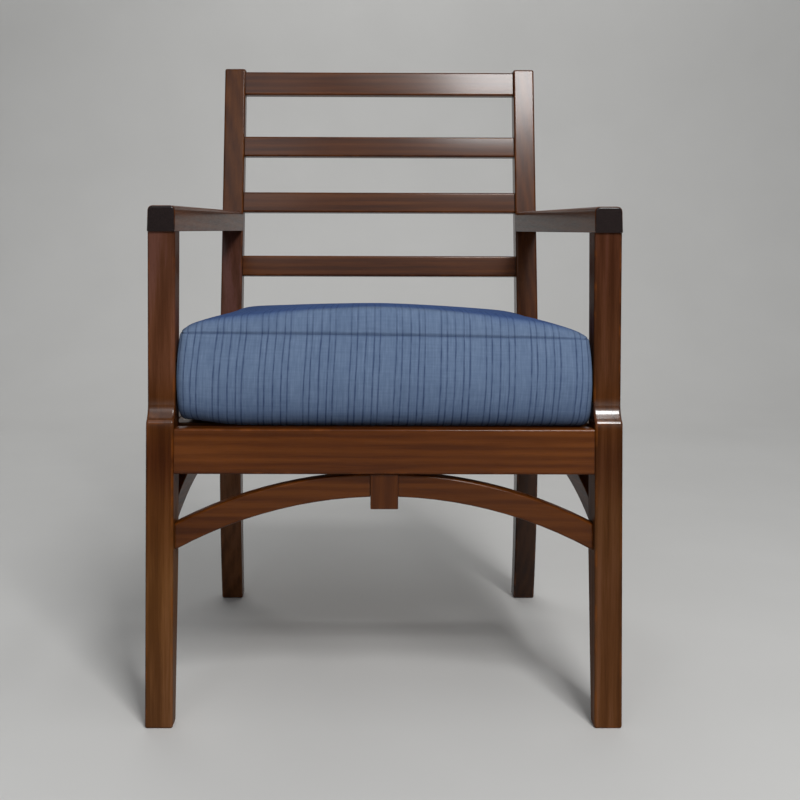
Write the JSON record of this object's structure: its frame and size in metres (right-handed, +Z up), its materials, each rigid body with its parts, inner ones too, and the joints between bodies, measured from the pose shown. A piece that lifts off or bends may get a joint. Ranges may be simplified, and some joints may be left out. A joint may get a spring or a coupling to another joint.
{
  "type": "patio_dining_armchair",
  "caption": "Dark varnished hardwood dining armchair with a slatted ladder back, open arms, arched braces under the seat and a thick loose box cushion in blue striped cloth",
  "frame": {"origin": "the middle of the chair's footprint, on the floor", "axes": "+Z up, -Y the way the chair faces, +X to the right of someone looking at its front"},
  "size_m": [0.6, 0.5667, 0.902],
  "materials": {
    "frame_wood": "dark red-brown hardwood under a satin varnish",
    "deck_wood": "the same hardwood, planed and thinly oiled, out of sight under the cushion",
    "cushion_fabric": "blue woven outdoor cloth with thin dark stripes running front to back, over a foam block"
  },
  "bodies": {
    "frame": {"front_leg_left": "frame_wood", "front_leg_right": "frame_wood", "rear_leg_left": "frame_wood", "rear_leg_right": "frame_wood", "crest_rail": "frame_wood", "back_slat_upper": "frame_wood", "back_slat_middle": "frame_wood", "back_slat_lower": "frame_wood", "arm_left": "frame_wood", "arm_right": "frame_wood", "front_apron": "frame_wood", "rear_apron": "frame_wood", "side_apron_left": "frame_wood", "side_apron_right": "frame_wood", "front_arch": "frame_wood", "rear_arch": "frame_wood", "side_arch_left": "frame_wood", "side_arch_right": "frame_wood", "arch_key_block": "frame_wood", "corner_block_front_left": "deck_wood", "corner_block_front_right": "deck_wood", "corner_block_rear_left": "deck_wood", "corner_block_rear_right": "deck_wood", "seat_cleat_left": "deck_wood", "seat_cleat_right": "deck_wood", "seat_slat_1": "deck_wood", "seat_slat_2": "deck_wood", "seat_slat_3": "deck_wood", "seat_slat_4": "deck_wood", "seat_slat_5": "deck_wood", "seat_slat_6": "deck_wood", "seat_slat_7": "deck_wood"},
    "cushion": {"seat_cushion": "cushion_fabric"}
  },
  "joints": [
    {"name": "cushion_lift", "type": "slide", "parent": "frame", "child": "cushion", "axis": [0, 0, 1], "range_m": [0, 0.3]}
  ]
}
